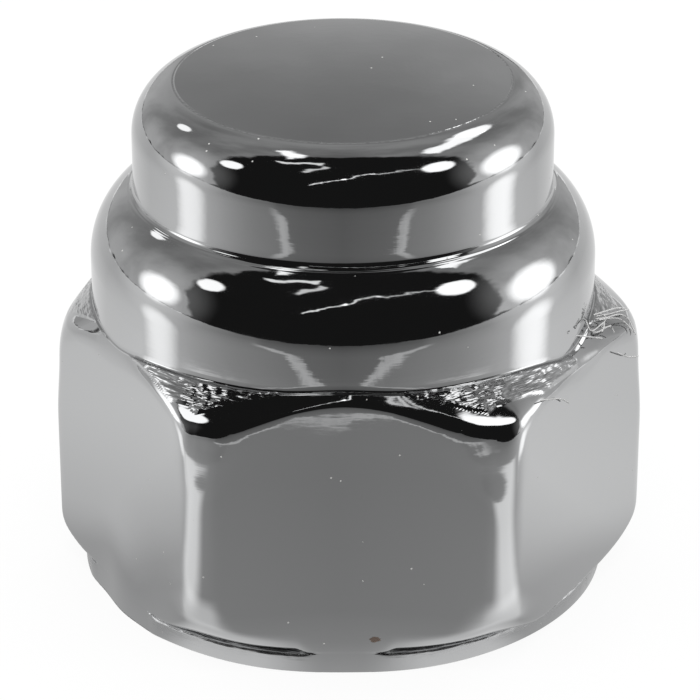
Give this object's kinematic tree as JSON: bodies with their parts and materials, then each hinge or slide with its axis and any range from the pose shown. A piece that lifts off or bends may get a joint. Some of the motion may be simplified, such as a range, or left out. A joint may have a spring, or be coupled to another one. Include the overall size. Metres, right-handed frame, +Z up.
{
  "type": "cap nut",
  "caption": "Chrome-plated hexagon cap nut with a two-step domed crown, a bearing ring and a blind threaded hole.",
  "frame": {"origin": "centre of the bearing ring's face, where the nut stands", "axes": "+Z up along the thread axis towards the crown, -Y towards one flat, +X towards one corner"},
  "size_m": [0.0214, 0.019, 0.019],
  "materials": {
    "chrome_plating": "bright buffed nickel-chrome plating with faint streaks, rough where the buffing wheel did not reach"
  },
  "bodies": {
    "root": {"cap_nut": "chrome_plating"}
  },
  "joints": []
}
